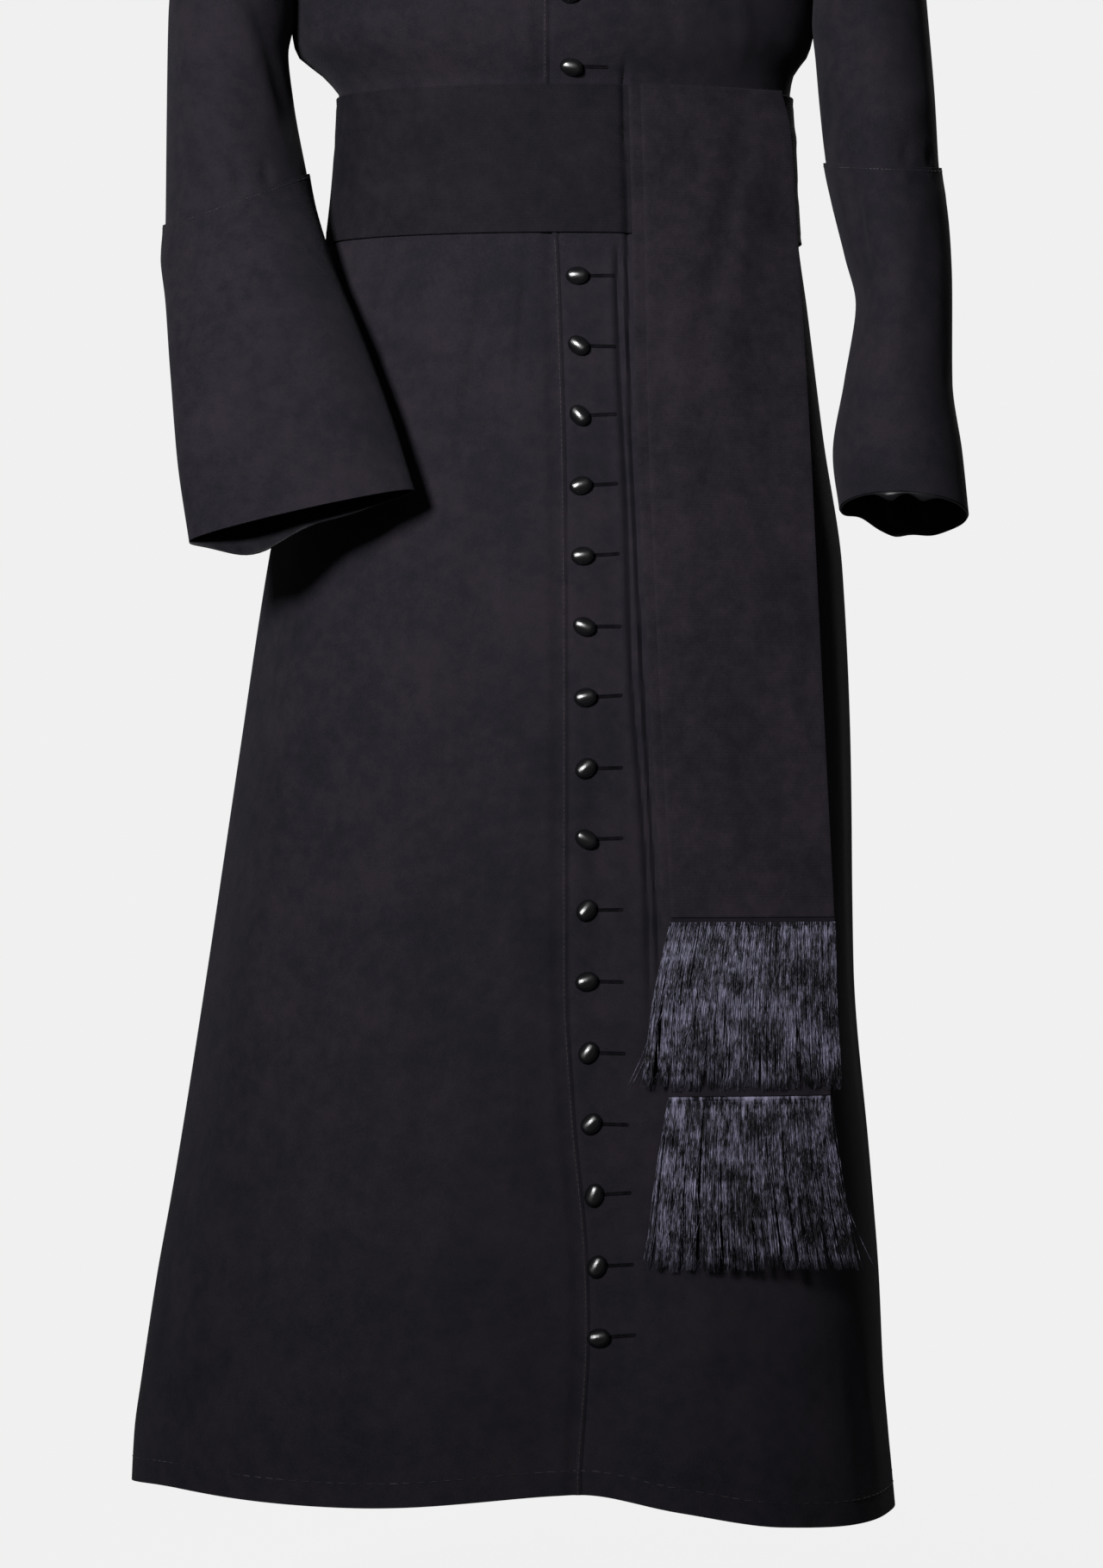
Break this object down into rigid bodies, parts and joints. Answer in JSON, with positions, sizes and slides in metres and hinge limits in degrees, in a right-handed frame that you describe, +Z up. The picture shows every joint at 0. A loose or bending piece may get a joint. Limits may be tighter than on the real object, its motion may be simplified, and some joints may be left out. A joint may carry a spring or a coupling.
{
  "type": "cassock",
  "caption": "Long black cassock in fine wool with deep cuffs, satin buttons down the front and a band cincture with two fringed ends.",
  "frame": {"origin": "midway between the points where the shoulder seams meet the neck, where the wearer's shoulders hold the garment up", "axes": "+Z up, the front faces -Y, +X towards the wearer's left"},
  "size_m": [0.6366, 0.4691, 1.4851],
  "materials": {
    "cassock_cloth": "matt",
    "band_cloth": "matt",
    "fringe_thread": "satin",
    "button_satin": "satin"
  },
  "bodies": {
    "root": {"front_left_yoke": "cassock_cloth", "front_left_chest": "cassock_cloth", "front_left_skirt": "cassock_cloth", "front_left_hem": "cassock_cloth", "front_right_yoke": "cassock_cloth", "front_right_chest": "cassock_cloth", "front_right_skirt": "cassock_cloth", "front_right_hem": "cassock_cloth", "back_left_yoke": "cassock_cloth", "back_left_chest": "cassock_cloth", "back_left_skirt": "cassock_cloth", "back_left_hem": "cassock_cloth", "back_right_yoke": "cassock_cloth", "back_right_chest": "cassock_cloth", "back_right_skirt": "cassock_cloth", "back_right_hem": "cassock_cloth", "sleeve_left": "cassock_cloth", "sleeve_right": "cassock_cloth", "cuff_left": "cassock_cloth", "cuff_right": "cassock_cloth", "collar": "cassock_cloth", "band": "band_cloth", "band_end_over": "band_cloth", "band_end_under": "band_cloth", "fringe_over": "fringe_thread", "fringe_under": "fringe_thread", "button_01": "button_satin", "button_02": "button_satin", "button_03": "button_satin", "button_04": "button_satin", "button_05": "button_satin", "button_06": "button_satin", "button_07": "button_satin", "button_08": "button_satin", "button_09": "button_satin", "button_10": "button_satin", "button_11": "button_satin", "button_12": "button_satin", "button_13": "button_satin", "button_14": "button_satin", "button_15": "button_satin", "button_16": "button_satin", "button_17": "button_satin", "button_18": "button_satin", "button_19": "button_satin", "button_20": "button_satin", "button_21": "button_satin", "button_22": "button_satin"}
  },
  "joints": []
}
